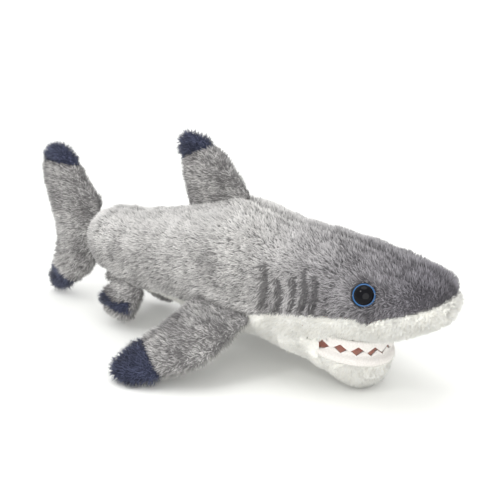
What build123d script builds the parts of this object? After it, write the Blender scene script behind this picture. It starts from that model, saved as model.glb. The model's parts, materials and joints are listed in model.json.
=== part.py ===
from build123d import *
from math import atan2, cos, degrees, radians, sin, tan
import os

# A plush shark, lying on its chin and its two pectoral fins. Millimetres.
# +X is the nose, +Z is up and the shark's right side is -Y. The origin is on the ground,
# under the middle of the shark's length.

# Fabric and fit
CLOTH = 4.0             # pile fabric with its backing, as it stands on the stuffing
TOUCH = 0.05            # hairline between pieces that lie on each other
GAP = 0.3               # clear space between the stuffing and the cloth, and at the hinges
ROUNDNESS = 2.2         # exponent of the torso's cross-section; 2 is an ellipse
RING_POINTS = 16        # spline points round one cross-section

# Torso cross-sections from rump to nose: x, top z, bottom z, half width
TORSO = [
    (-131, 75, 61, 11),
    (-127, 82, 54, 19),
    (-116, 92, 44, 29),
    (-88, 97, 36, 35),
    (-48, 104, 31, 40),
    (-8, 113, 26, 44),
    (32, 123, 20, 47),
    (62, 117, 18, 47),
    (92, 113, 17, 48),
    (122, 110, 30, 47),
    (152, 104, 42, 43),
    (177, 97, 52, 35),
    (192, 88, 59, 23),
    (200, 80, 66, 13),
]

# Seam between the grey back and the white belly and muzzle, from the pelvic fins to the nose
SEAM = [
    (-100, 10),
    (-96, 46),
    (-75, 40),
    (-50, 39),
    (-8, 41),
    (30, 46),
    (70, 53),
    (91, 59),
    (118, 63),
    (147, 66),
    (155, 63),
    (163, 68),
    (184, 76),
    (210, 86),
]
RIDGE_HEIGHT = 200      # any height above the dorsal fin

# Mouth: its plan is half an ellipse, and its roof and floor slope up towards the cheeks
MOUTH_CENTRE_X = 112.0
MOUTH_LENGTH = 43.0
MOUTH_HALF_WIDTH = 36.5
ROOF_FRONT_Z = 41.5
ROOF_BACK_Z = 47.5
FLOOR_FRONT_Z = 26.0
FLOOR_BACK_Z = 33.0
MOUTH_PLAY = 0.2        # clear space between the lips and what lies in the mouth
LINING = 1.5            # pink felt
FELT = 1.6              # white felt of the teeth
TOOTH_COUNT = 9
TOOTH_STEP = 18.0       # degrees round the mouth's ellipse
TOOTH_WIDTH = 11.5
TOOTH_STRIP = 1.8
TOOTH_DROP = 5.8
TOOTH_BITE = 0.6        # each tooth overlaps the strip by this much
TOOTH_THIN = 0.9        # share of the felt's thickness
LOWER_ROW_INSET = 4.8   # the lower row stands this far inside the mouth's outline

# Jaw: cross-sections x, bottom z, half width; its hem rolls about the hinge in the throat
JAW = [
    (80, 17, 30),
    (102, 14, 34),
    (117, 7, 35),
    (130, -0.8, 32),
    (142, -0.8, 25),
    (151, 6, 16),
    (157, 16, 6),
]
JAW_HINGE_X = 106.0
JAW_HINGE_Z = 34.0
JAW_HEM_RADIUS = 22.0
JAW_HEM_SPAN = 158.0    # degrees of hem, measured back from the mouth's floor
JAW_HEM_HALF_WIDTH = 60.0
JAW_FAN_REACH = 100.0   # longer than the hem's radius
THROAT_CEILING = 0.4    # the throat's pocket reaches this far above the hinge

# Eyes: black flange, blue ring and clear dome on a shank through the cloth
EYE_X, EYE_Y, EYE_Z = 151.5, 38.2, 85.0
EYE_LEAN = 18.0         # degrees forward
EYE_LIFT = 26.0         # degrees up
EYE_RADIUS = 9.2
EYE_FLANGE = 1.6
EYE_SINK = 1.4          # the flange's back lies this deep under the cloth's face
EYE_PLAY = 0.2          # clear space round the flange and the shank
SEAT_OPEN = 12.0        # how far outwards the dimple is cut
IRIS_RADIUS = 8.2
IRIS_THICKNESS = 0.5
LENS_RADIUS = 7.6
LENS_HEIGHT = 5.0
SHANK_RADIUS = 2.4
SHANK_LENGTH = 9.5
SHANK_HOLE = 9.0
WASHER_RADIUS = 7.0
WASHER_THICKNESS = 1.2
WASHER_DEPTH = 6.6
WASHER_ROOM = 2.0       # the stuffing stays this far from the shank's end

# Gill pleats on each side: x and the lower and upper ends
GILLS = [
    (75, 59, 92),
    (88, 60, 85),
    (100, 61, 88),
    (108, 63, 94),
    (117, 65, 92),
]
PLEAT_WIDTH = 2.0
PLEAT_DEPTH = 2.4
THREAD = 0.9
THREAD_LIFT = 0.2       # the thread's bottom is this far above the pleat's
FLANK_Y = 10.0          # pleats and their threads keep this far from the middle

# Hand-sewn closing seam under the belly
CLOSING_X = (-44, -12)
CLOSING_STITCHES = 7
CLOSING_DEPTH = 1.8
CLOSING_HALF_WIDTH = 3.0
STITCH_INSET = 0.6

# Fins are lofted from ellipses. Each section is: distance from the hinge line,
# rear end and front end along that line, thickness
HEM_RADIUS = 3.0        # rolled hem that each fin swings on
HEM_CLEAR = 0.35
GROOVE_CLEAR = 0.9      # at each side of the hem, so that the fin can lean over
HEM_SHORT = 3.0         # the hem stops this far short of the fin's root at each end
ROOT_FLARE = 26.0       # degrees: how fast a fin thickens away from its hem
CORE_LIFT = 2.0         # the stuffing's wedge starts this much nearer the hem than its cloth

DORSAL_REAR = (-33, 0, 109)
DORSAL_FRONT = (34, 0, 124.8)
DORSAL = [
    (0, -31, 34, 6),
    (6, -32, 33, 14),
    (14, -31.5, 30, 20),
    (24, -30.5, 25, 22),
    (35, -30, 18, 21),
    (45, -29.5, 9, 18),
    (52, -29, 1, 14),
    (57, -25, -7, 8),
    (59, -20, -12, 4),
]
DORSAL_TIP = ((-30, 36), (10, 46))

PECTORAL_REAR = (24, -45.8, 52)
PECTORAL_FRONT = (72, -45.8, 47.5)
PECTORAL_DROOP = 39.9   # degrees below level
PECTORAL = [
    (0, -38, 18, 6),
    (8, -44, 17, 18),
    (20, -47, 14, 24),
    (35, -54, 9, 24),
    (50, -63, 0, 22),
    (62, -68, -13, 20),
    (72, -69, -26, 17),
    (79, -66, -37, 12),
    (83.5, -58, -47, 6),
]
PECTORAL_TIP = ((-60, 42), (-19, 70))

PELVIC_REAR = (-92, -27.5, 42.3)
PELVIC_FRONT = (-55, -28, 38.3)
PELVIC_SWEEP = 4.0      # degrees back from square to the root
PELVIC = [
    (0, -17, 19, 6),
    (6, -25, 19, 15),
    (13, -31, 16, 21),
    (21, -32, 13, 22),
    (28, -29, 10, 18),
    (33, -23, 6, 12),
    (36.5, -13, 0, 5),
]
PELVIC_TIP_BAND = (12, 25)
PELVIC_BAND_ENDS = (-40, 20)

ANAL_REAR = (-121, 0, 45.2)
ANAL_FRONT = (-97, 0, 35.8)
ANAL = [
    (0, -12, 12, 5),
    (6, -14, 11, 9),
    (12, -15, 8, 11),
    (18, -14, 3, 9),
    (22, -11, -3, 4),
]

# Tail: z, rear x, front x, thickness
TAIL_HINGE_X = -133.0
TAIL_HEM_Z = (50, 84)
TAIL = [
    (1, -196, -187, 5),
    (7, -200, -171, 13),
    (16, -199, -158, 19),
    (27, -195, -145, 22),
    (37, -190, -137, 24),
    (50, -186, -131, 26),
    (66, -184, -130, 27),
    (82, -189, -130, 27),
    (95, -194, -132, 25),
    (109, -197, -139, 23),
    (122, -197, -147, 21),
    (133, -195, -155, 17),
    (140, -190, -163, 11),
    (143, -184, -172, 5),
]
TAIL_UPPER_TIP_Z = 126
TAIL_LOWER_TIP = ((-240, 48.7), (-125, -13.7))
TAIL_REACH = 90.0       # longer than the tail
TAIL_CORE_START = 6.0   # the tail's stuffing starts this far behind the hinge

LEAST_CORE = 2.0        # stuffing thinner than this is left out
BEYOND = 5.0            # how far a cutting shape reaches past a fin's edge
BIG = 600.0             # larger than the shark, for cutting halves


# ---------- shared shapes ----------

def ring(x, top, bottom, half_width):
    """Cross-section of the body at x, a rounded ellipse."""
    middle = (top + bottom) / 2
    half_height = (top - bottom) / 2
    points = []
    for step in range(RING_POINTS):
        angle = radians(360 * (step + 0.5) / RING_POINTS)
        y = half_width * rounded(cos(angle))
        z = middle + half_height * rounded(sin(angle))
        points.append((x, y, z))
    return make_face(Spline(*points, periodic=True))


def rounded(value):
    """Turns a cosine or sine into the torso's fuller cross-section."""
    return (1 if value >= 0 else -1) * abs(value) ** (2 / ROUNDNESS)


def torso_body(inset=0.0):
    """The whole torso, or the space left inside it when a cloth of that thickness is taken off."""
    rings = []
    last = len(TORSO) - 1
    for index, (x, top, bottom, half_width) in enumerate(TORSO):
        shift = inset if index == 0 else -inset if index == last else 0
        if index in (1, last - 1):
            shift = inset / 2 if index == 1 else -inset / 2
        rings.append(ring(x + shift, top - inset, bottom + inset, half_width - inset))
    return loft(rings)


def slab(low, high):
    """A box from one corner to the other."""
    size = [b - a for a, b in zip(low, high)]
    middle = [(a + b) / 2 for a, b in zip(low, high)]
    return Pos(*middle) * Box(*size)


def side_prism(points, half_width=BIG):
    """A prism along Y with this outline in x and z."""
    outline = make_face(Polyline(*[(x, 0, z) for x, z in points], close=True))
    return extrude(outline, half_width, dir=(0, 1, 0), both=True)


def half(side):
    """Everything on one side of the shark: -1 is its right, +1 its left."""
    return slab((-BIG, min(0, side * BIG), -BIG), (BIG, max(0, side * BIG), BIG))


def rod(start, end, radius):
    """A round bar from one point to another."""
    run = Vector(*end) - Vector(*start)
    frame = Plane(origin=start, z_dir=run)
    return extrude(frame * Circle(radius), run.length)


def other_side(shape):
    """The same piece on the shark's left."""
    return mirror(shape, about=Plane.XZ)


def save(name, *shapes):
    """Writes one node; several separate solids may share it."""
    solids = []
    for shape in shapes:
        solids += list(shape.solids())
    whole = solids[0] if len(solids) == 1 else Compound(children=solids)
    export_step(whole, os.path.join("parts", name + ".step"))


# ---------- fins ----------

def fin_frame(rear, front, tilt_out):
    """Frame of a fin: X forward along its hinge line, Z out along the fin."""
    middle = (Vector(*rear) + Vector(*front)) / 2
    along = (Vector(*front) - Vector(*rear)).normalized()
    out = Vector(*tilt_out)
    out = (out - along * out.dot(along)).normalized()
    return Plane(origin=middle, x_dir=along, z_dir=out)


def fin_loft(frame, sections, inset=0.0):
    """Loft through the fin's sections, each square to the fin."""
    faces = []
    for reach, rear, front, thickness in sections:
        centre = frame.offset(reach) * Pos((rear + front) / 2, 0)
        faces.append(centre * Ellipse((front - rear) / 2 - inset, thickness / 2 - inset))
    return loft(faces)


def root_wedge(length, reach):
    """The room a fin may fill near its hem, so that it can swing. Local: X along the hem, Z out."""
    flare = tan(radians(ROOT_FLARE)) * reach
    outline = Polyline(
        (0, -HEM_RADIUS, 0),
        (0, -HEM_RADIUS - flare, reach),
        (0, HEM_RADIUS + flare, reach),
        (0, HEM_RADIUS, 0),
        close=True,
    )
    return extrude(make_face(outline), length, dir=(1, 0, 0), both=True)


def hem(frame, sections, clear=0.0):
    """Round hem on the hinge line."""
    _, rear, front, _ = sections[0]
    start = frame.from_local_coords((rear + HEM_SHORT - clear, 0, 0))
    end = frame.from_local_coords((front - HEM_SHORT + clear, 0, 0))
    return rod(start, end, HEM_RADIUS + clear)


def hem_groove(frame, sections):
    """The square groove that a hem lies in, open towards the fin."""
    _, rear, front, _ = sections[0]
    bottom = HEM_RADIUS + HEM_CLEAR
    half_width = HEM_RADIUS + GROOVE_CLEAR
    low = (rear + HEM_SHORT - HEM_CLEAR, -half_width, -bottom)
    high = (front - HEM_SHORT + HEM_CLEAR, half_width, 3 * HEM_RADIUS)
    return frame.location * slab(low, high)


def fin_body(frame, sections):
    """The outside of a fin: its loft, narrowed at the root, with the hem."""
    reach = sections[-1][0] + BEYOND
    wedge = frame.location * root_wedge(BIG / 4, reach)
    return (fin_loft(frame, sections) & wedge) + hem(frame, sections)


def fin_core(frame, sections, inset):
    """The space inside a fin's cloth, away from the root and the tip."""
    inner = thick_enough(sections, inset)
    first, last = inner[0], inner[-1]
    wedge = root_wedge(BIG / 4, last[0] + BEYOND)
    start = Pos(0, 0, first[0] + inset - CORE_LIFT)
    return fin_loft(frame, inner, inset) & (frame.location * start * wedge)


def thick_enough(sections, inset):
    """The sections that still have some thickness left inside the cloth."""
    return [section for section in sections if section[3] > 2 * inset + LEAST_CORE]


def fin_cut(frame, points):
    """Everything beyond a line drawn on the fin, as a block. Points are (along, reach)."""
    (x0, z0), (x1, z1) = points
    run = Vector(x1 - x0, 0, z1 - z0).normalized() * BIG
    outline = Polyline(
        (x0 - run.X, 0, z0 - run.Z),
        (x1 + run.X, 0, z1 + run.Z),
        (x1 + run.X, 0, z1 + BIG * 2),
        (x0 - run.X, 0, z0 + BIG * 2),
        close=True,
    )
    return frame.location * extrude(make_face(outline), BIG / 4, dir=(0, 1, 0), both=True)


def fin_half(frame, side):
    """One face's half of a fin, in the fin's own frame."""
    return frame.location * half(side)


# ---------- torso ----------

def above_seam():
    """The part of space that the grey back covers."""
    top = [(SEAM[-1][0], RIDGE_HEIGHT), (-BIG, RIDGE_HEIGHT), (-BIG, SEAM[0][1])]
    return side_prism(SEAM + top)


def mouth_plan(grow=0.0):
    """Plan of the mouth: a rectangle at the cheeks and half an ellipse in front."""
    length = MOUTH_LENGTH + grow
    half_width = MOUTH_HALF_WIDTH + grow
    oval = Pos(MOUTH_CENTRE_X, 0) * Ellipse(length, half_width)
    back = JAW_HINGE_X - grow
    cheeks = Pos((back + MOUTH_CENTRE_X) / 2, 0) * Rectangle(MOUTH_CENTRE_X - back, 2 * half_width)
    return (oval & Pos(back + BIG / 2, 0) * Rectangle(BIG, BIG)) + cheeks


def sloped(front_z, back_z, x):
    """Height at x of the mouth's roof or floor."""
    front = MOUTH_CENTRE_X + MOUTH_LENGTH
    slope = (back_z - front_z) / MOUTH_LENGTH
    return front_z + (front - x) * slope


def below(front_z, back_z, lift=0.0):
    """All the space under the mouth's roof or floor."""
    low_x, high_x = -BIG, BIG
    points = [
        (low_x, sloped(front_z, back_z, low_x) + lift),
        (high_x, sloped(front_z, back_z, high_x) + lift),
        (high_x, -3 * BIG),
        (low_x, -3 * BIG),
    ]
    return side_prism(points)


def mouth_space(lift=0.0, grow=0.0):
    """The open mouth, from below the chin up to its roof."""
    column = extrude(Pos(0, 0, -BIG / 2) * mouth_plan(grow), BIG)
    return column & below(ROOF_FRONT_Z, ROOF_BACK_Z, lift)


def throat_pocket(grow=0.0):
    """The round space behind the mouth that the jaw's hem turns in."""
    wide = MOUTH_HALF_WIDTH + grow
    radius = JAW_HEM_RADIUS + HEM_CLEAR + grow
    barrel = rod((JAW_HINGE_X, -wide, JAW_HINGE_Z), (JAW_HINGE_X, wide, JAW_HINGE_Z), radius)
    ceiling = JAW_HINGE_Z + THROAT_CEILING + grow
    return barrel & slab((-BIG, -BIG, -BIG), (BIG, BIG, ceiling))


def eye_plane():
    """Right eye: the plane of its flange, facing out."""
    lean, lift = radians(EYE_LEAN), radians(EYE_LIFT)
    facing = (sin(lean) * cos(lift), -cos(lean) * cos(lift), sin(lift))
    return Plane(origin=(EYE_X, -EYE_Y, EYE_Z), z_dir=facing)


def disc(radius, low, high):
    """A disc on the right eye's axis, between two distances from the cloth's face."""
    return extrude(eye_plane().offset(low) * Circle(radius), high - low)


def eye_seat(deep=SHANK_HOLE):
    """The dimple in the cloth under the eye, with the hole for its shank."""
    dimple = disc(EYE_RADIUS + EYE_PLAY, -EYE_SINK, SEAT_OPEN)
    seat = dimple + disc(SHANK_RADIUS + EYE_PLAY, -deep, 0)
    return seat + other_side(seat)


def pleat_band(x, low, high, depth_out, depth_in, width):
    """A strip that follows the body's side, between two depths under its surface."""
    body = torso_at(x)
    outer = ring(x, *grown(body, -depth_out))
    inner = ring(x, *grown(body, -depth_in))
    strip = extrude(outer - inner, width / 2, dir=(1, 0, 0), both=True)
    right = strip & slab((-BIG, -BIG, low), (BIG, -FLANK_Y, high))
    return right + other_side(right)


def torso_at(x):
    """Top, bottom and half width of the torso at x, between its cross-sections."""
    for (x0, *before), (x1, *after) in zip(TORSO, TORSO[1:]):
        if x0 <= x <= x1:
            share = (x - x0) / (x1 - x0)
            return [a + (b - a) * share for a, b in zip(before, after)]


def grown(section, amount):
    """The same cross-section, larger all round by this amount."""
    top, bottom, half_width = section
    return top + amount, bottom - amount, half_width + amount


def gill_grooves():
    """Sewn-in pleats, five on each side."""
    return [pleat_band(x, low, high, -CLOTH, PLEAT_DEPTH, PLEAT_WIDTH) for x, low, high in GILLS]


def gill_threads():
    """The thread at the bottom of each pleat."""
    threads = []
    for x, low, high in GILLS:
        depth = PLEAT_DEPTH - THREAD_LIFT
        threads.append(pleat_band(x, low + THREAD, high - THREAD, depth - THREAD, depth, THREAD))
    return threads


def closing_groove():
    """Shallow valley under the belly where the shark was stuffed and sewn shut."""
    start, end = CLOSING_X
    points = [(start, 0), (start, valley_z(start)), (end, valley_z(end)), (end, 0)]
    return side_prism(points, CLOSING_HALF_WIDTH)


def valley_z(x):
    """Height of the closing seam's valley floor at x."""
    _, bottom, _ = torso_at(x)
    return bottom + CLOSING_DEPTH


def closing_stitches():
    """Ladder stitches across the closing seam."""
    start, end = CLOSING_X
    step = (end - start) / CLOSING_STITCHES
    reach = CLOSING_HALF_WIDTH - STITCH_INSET
    bars = []
    for index in range(CLOSING_STITCHES):
        x = start + step * (index + 0.5)
        z = valley_z(x) - THREAD
        bars.append(rod((x, -reach, z), (x, reach, z), THREAD / 2))
    return bars


# ---------- teeth ----------

def tooth_row(length, half_width, front_z, back_z, direction):
    """A felt strip round the mouth with pointed teeth. direction is -1 down or +1 up."""
    height = TOOTH_STRIP
    outer = Pos(MOUTH_CENTRE_X, 0) * Ellipse(length, half_width)
    inner = Pos(MOUTH_CENTRE_X, 0) * Ellipse(length - FELT, half_width - FELT)
    arc = (outer - inner) & Pos(MOUTH_CENTRE_X + BIG / 2, 0) * Rectangle(BIG, BIG)
    row = extrude(arc, direction * height)
    middle = FELT / 2
    for index in range(TOOTH_COUNT):
        turn = radians(TOOTH_STEP * (index - (TOOTH_COUNT - 1) / 2))
        x = (length - middle) * cos(turn)
        y = (half_width - middle) * sin(turn)
        facing = degrees(atan2(y / half_width ** 2, x / length ** 2))
        root = direction * (height - TOOTH_BITE)
        tip = direction * (height + TOOTH_DROP)
        outline = Polyline(
            (0, -TOOTH_WIDTH / 2, root),
            (0, TOOTH_WIDTH / 2, root),
            (0, 0, tip),
            close=True,
        )
        tooth = extrude(make_face(outline), FELT * TOOTH_THIN / 2, dir=(1, 0, 0), both=True)
        row += Pos(MOUTH_CENTRE_X + x, y, 0) * Rot(0, 0, facing) * tooth
    slope = degrees(atan2(back_z - front_z, MOUTH_LENGTH))
    front = MOUTH_CENTRE_X + MOUTH_LENGTH
    return Pos(front, 0, front_z) * Rot(0, slope, 0) * Pos(-front, 0, 0) * row


# ---------- building each group ----------

def build_torso(fin_grooves):
    """Back, belly and muzzle panels, linings, stuffing and sewing."""
    outer = torso_body()
    inner = torso_body(CLOTH)
    shell = outer - inner - mouth_space(0, MOUTH_PLAY) - throat_pocket() - closing_groove()
    for groove in fin_grooves:
        shell -= groove
    shell -= eye_seat()
    grey = above_seam()
    back = shell & grey
    for band in gill_grooves():
        back -= band
    save("back_panel_right", back & half(-1))
    save("back_panel_left", back & half(1))
    white = shell - grey
    cheek = slab((JAW_HINGE_X, -BIG, -BIG), (BIG, BIG, BIG))
    save("muzzle_panel", white & cheek)
    save("belly_panel", white - cheek)
    save("gill_threads_right", *[band & half(-1) for band in gill_threads()])
    save("gill_threads_left", *[band & half(1) for band in gill_threads()])
    save("closing_seam_thread", *closing_stitches())

    palate = mouth_space() - mouth_space(-LINING)
    save("palate_lining", palate & inner)
    throat = throat_pocket(LINING) - throat_pocket(TOUCH) - mouth_space(0, MOUTH_PLAY)
    save("throat_lining", throat & torso_body(CLOTH + TOUCH))

    stuffing = torso_body(CLOTH + GAP)
    stuffing -= mouth_space(GAP, LINING + GAP)
    stuffing -= throat_pocket(LINING + GAP)
    for groove in fin_grooves:
        stuffing -= groove
    room = disc(EYE_RADIUS + GAP + EYE_PLAY, -SHANK_LENGTH - WASHER_ROOM, 0)
    stuffing -= room + other_side(room)
    save("torso_stuffing", stuffing)


def build_teeth():
    """Both rows of felt teeth; the lower row stands just inside the upper."""
    length, half_width = MOUTH_LENGTH - GAP, MOUTH_HALF_WIDTH - GAP
    upper = tooth_row(length, half_width, ROOF_FRONT_Z, ROOF_BACK_Z, -1)
    save("upper_teeth", Pos(0, 0, -LINING - TOUCH) * upper)
    length, half_width = MOUTH_LENGTH - LOWER_ROW_INSET, MOUTH_HALF_WIDTH - LOWER_ROW_INSET
    lower = tooth_row(length, half_width, FLOOR_FRONT_Z, FLOOR_BACK_Z, 1)
    save("lower_teeth", Pos(0, 0, TOUCH) * lower)


def jaw_body(inset=0.0):
    """The jaw's outside under the mouth's floor, with the round hem behind it."""
    rings = []
    last = len(JAW) - 1
    for index, (x, bottom, half_width) in enumerate(JAW):
        shift = -inset if index == last else 0
        floor = sloped(FLOOR_FRONT_Z, FLOOR_BACK_Z, x)
        rings.append(ring(x + shift, 2 * floor - bottom - inset, bottom + inset, half_width - inset))
    front = slab((JAW_HINGE_X, -BIG, -BIG), (BIG, BIG, BIG))
    whole = loft(rings) & (jaw_hem(JAW_HEM_RADIUS - inset) + front)
    whole &= below(FLOOR_FRONT_Z, FLOOR_BACK_Z)
    return whole & slab((-BIG, -BIG, max(0, inset)), (BIG, BIG, BIG))


def jaw_hem(radius):
    """The round hem behind the jaw, under a line that falls back from the hinge."""
    start = (JAW_HINGE_X, -JAW_HEM_HALF_WIDTH, JAW_HINGE_Z)
    end = (JAW_HINGE_X, JAW_HEM_HALF_WIDTH, JAW_HINGE_Z)
    reach = JAW_FAN_REACH
    back = radians(JAW_HEM_SPAN)
    fan = side_prism([
        (JAW_HINGE_X, JAW_HINGE_Z),
        (JAW_HINGE_X + reach * cos(back), JAW_HINGE_Z - reach * sin(back)),
        (JAW_HINGE_X - reach, JAW_HINGE_Z - reach),
        (JAW_HINGE_X, JAW_HINGE_Z - reach),
    ])
    return rod(start, end, radius) & fan


def build_jaw():
    """Chin panel, mouth floor and jaw stuffing."""
    outer = jaw_body()
    inner = jaw_body(CLOTH)
    floor = inner - below(FLOOR_FRONT_Z, FLOOR_BACK_Z, -LINING)
    save("chin_panel", outer - inner)
    save("mouth_floor_lining", floor)
    stuffing = jaw_body(CLOTH + GAP) & below(FLOOR_FRONT_Z, FLOOR_BACK_Z, -LINING - GAP)
    save("jaw_stuffing", stuffing)


def build_eyes():
    """Safety eyes: lens, ring, flange with shank, and the lock washer inside the cloth."""
    top = EYE_FLANGE - EYE_SINK
    base = disc(EYE_RADIUS, -EYE_SINK, top) + disc(SHANK_RADIUS, -SHANK_LENGTH, -EYE_SINK)
    iris = disc(IRIS_RADIUS, top, top + IRIS_THICKNESS)
    crown = top + IRIS_THICKNESS
    dome_radius = (LENS_RADIUS ** 2 + LENS_HEIGHT ** 2) / (2 * LENS_HEIGHT)
    centre = eye_plane().from_local_coords((0, 0, crown + LENS_HEIGHT - dome_radius))
    lens = Pos(centre) * Sphere(dome_radius) & disc(LENS_RADIUS, crown, crown + 2 * LENS_HEIGHT)
    collar = disc(WASHER_RADIUS, -WASHER_DEPTH - WASHER_THICKNESS, -WASHER_DEPTH)
    washer = collar - disc(SHANK_RADIUS + TOUCH, -SHANK_LENGTH, 0)
    pieces = {"lens": lens, "iris": iris, "base": base, "washer": washer}
    for name, piece in pieces.items():
        save("eye_" + name + "_right", piece)
        save("eye_" + name + "_left", other_side(piece))


def dorsal_frame():
    """The dorsal fin stands straight up from the ridge."""
    return fin_frame(DORSAL_REAR, DORSAL_FRONT, (0, 0, 1))


def build_dorsal():
    """Dorsal fin: two side panels, navy tip and stuffing."""
    frame = dorsal_frame()
    shell = fin_body(frame, DORSAL) - fin_core(frame, DORSAL, CLOTH)
    tip = fin_cut(frame, DORSAL_TIP)
    sides = shell - tip
    save("dorsal_tip", shell & tip)
    save("dorsal_panel_right", sides & half(-1))
    save("dorsal_panel_left", sides & half(1))
    save("dorsal_stuffing", fin_core(frame, DORSAL, CLOTH + GAP))


def pectoral_frame():
    """The right pectoral fin reaches out and down."""
    droop = radians(PECTORAL_DROOP)
    return fin_frame(PECTORAL_REAR, PECTORAL_FRONT, (0, -cos(droop), -sin(droop)))


def build_pectorals():
    """Pectoral fins, resting on the ground near their tips."""
    frame = pectoral_frame()
    ground = slab((-BIG, -BIG, -BIG), (BIG, BIG, 0))
    shell = fin_body(frame, PECTORAL) - fin_core(frame, PECTORAL, CLOTH) - ground
    tip = fin_cut(frame, PECTORAL_TIP)
    sides = shell - tip
    upper = fin_half(frame, upper_side(frame))
    pieces = {
        "tip": shell & tip,
        "upper_panel": sides & upper,
        "lower_panel": sides - upper,
        "stuffing": fin_core(frame, PECTORAL, CLOTH + GAP),
    }
    save_pair("pectoral", pieces)


def upper_side(frame):
    """Which side of a fin's own Y is its upper face."""
    return 1 if frame.y_dir.Z > 0 else -1


def pelvic_frame():
    """The right pelvic fin hangs down and slightly back."""
    sweep = radians(PELVIC_SWEEP)
    return fin_frame(PELVIC_REAR, PELVIC_FRONT, (-sin(sweep), 0, -cos(sweep)))


def build_pelvics():
    """Pelvic fins: outer panel with a navy band, inner panel round the edge, stuffing."""
    frame = pelvic_frame()
    shell = fin_body(frame, PELVIC) - fin_core(frame, PELVIC, CLOTH)
    outer = fin_half(frame, 1 if frame.y_dir.Y < 0 else -1)
    low, high = PELVIC_TIP_BAND
    rear, front = PELVIC_BAND_ENDS
    beyond_low = fin_cut(frame, ((rear, low), (front, low)))
    beyond_high = fin_cut(frame, ((rear, high), (front, high)))
    face = shell & outer
    pieces = {
        "tip": (face & beyond_low) - beyond_high,
        "outer_panel": face - beyond_low,
        "inner_panel": (shell - outer) + (face & beyond_high),
        "stuffing": fin_core(frame, PELVIC, CLOTH + GAP),
    }
    save_pair("pelvic", pieces)


def save_pair(prefix, pieces):
    """Writes a right-hand group and its mirror image."""
    for name, piece in pieces.items():
        save(prefix + "_" + name + "_right", piece)
        save(prefix + "_" + name + "_left", other_side(piece))


def anal_frame():
    """The anal fin hangs under the rump."""
    return fin_frame(ANAL_REAR, ANAL_FRONT, (0, 0, -1))


def build_anal():
    """Small unstuffed fin under the rump: two layers of cloth."""
    whole = fin_body(anal_frame(), ANAL)
    save("anal_fin_panel_right", whole & half(-1))
    save("anal_fin_panel_left", whole & half(1))


def tail_loft(inset=0.0):
    """The tail's two lobes, lofted upwards, less a cloth of that thickness."""
    faces = []
    for z, rear, front, thickness in thick_enough(TAIL, inset):
        centre = Pos((rear + front) / 2, 0, z)
        faces.append(centre * Ellipse((front - rear) / 2 - inset, thickness / 2 - inset))
    return loft(faces)


def tail_frame():
    """Frame of the tail: X up along its hinge line, Z backwards."""
    return Plane(origin=(TAIL_HINGE_X, 0, 0), x_dir=(0, 0, 1), z_dir=(-1, 0, 0))


def tail_wedge(start=0.0):
    """The room the tail may fill behind its hem."""
    return tail_frame().location * Pos(0, 0, start) * root_wedge(BIG / 2, TAIL_REACH)


def tail_hem(clear=0.0):
    """Round hem on the tail's hinge line."""
    low, high = TAIL_HEM_Z
    start, end = (TAIL_HINGE_X, 0, low - clear), (TAIL_HINGE_X, 0, high + clear)
    return rod(start, end, HEM_RADIUS + clear)


def build_tail():
    """Tail fin: two side panels, two navy tips and stuffing."""
    outer = (tail_loft() & tail_wedge()) + tail_hem()
    shell = outer - (tail_loft(CLOTH) & tail_wedge(TAIL_CORE_START))
    upper = slab((-BIG, -BIG, TAIL_UPPER_TIP_Z), (BIG, BIG, BIG))
    rear, front = TAIL_LOWER_TIP
    lower = side_prism([rear, front, (front[0], -BIG), (rear[0], -BIG)])
    sides = shell - upper - lower
    save("tail_upper_tip", shell & upper)
    save("tail_lower_tip", shell & lower)
    save("tail_panel_right", sides & half(-1))
    save("tail_panel_left", sides & half(1))
    save("tail_stuffing", tail_loft(CLOTH + GAP) & tail_wedge(TAIL_CORE_START + GAP))


def fin_grooves():
    """Grooves in the torso that the fins' hems lie in."""
    right = [hem_groove(pectoral_frame(), PECTORAL), hem_groove(pelvic_frame(), PELVIC)]
    pairs = right + [other_side(groove) for groove in right]
    middle = [hem_groove(dorsal_frame(), DORSAL), hem_groove(anal_frame(), ANAL)]
    return pairs + middle + [tail_hem(HEM_CLEAR)]


os.makedirs("parts", exist_ok=True)
build_torso(fin_grooves())
build_teeth()
build_jaw()
build_eyes()
build_dorsal()
build_pectorals()
build_pelvics()
build_anal()
build_tail()
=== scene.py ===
import bpy
import json
import math
import numpy as np
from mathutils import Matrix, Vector
from mathutils.bvhtree import BVHTree


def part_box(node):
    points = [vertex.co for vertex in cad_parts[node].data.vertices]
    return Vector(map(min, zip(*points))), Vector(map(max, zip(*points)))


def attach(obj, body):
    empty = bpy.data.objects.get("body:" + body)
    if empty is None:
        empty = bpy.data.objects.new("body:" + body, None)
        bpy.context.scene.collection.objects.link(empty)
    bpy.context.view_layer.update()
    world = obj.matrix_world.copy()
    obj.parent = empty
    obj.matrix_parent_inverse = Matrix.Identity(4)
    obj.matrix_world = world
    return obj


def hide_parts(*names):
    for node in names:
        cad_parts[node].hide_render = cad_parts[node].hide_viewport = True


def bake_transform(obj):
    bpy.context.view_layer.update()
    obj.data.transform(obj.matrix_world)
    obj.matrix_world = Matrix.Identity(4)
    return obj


# The looks of a plush shark. Metres. Its cloth is a skin that lies a pile's height inside the
# frame's panels, and its pile is many short leaning tufts that end near the panels' outside.

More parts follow.
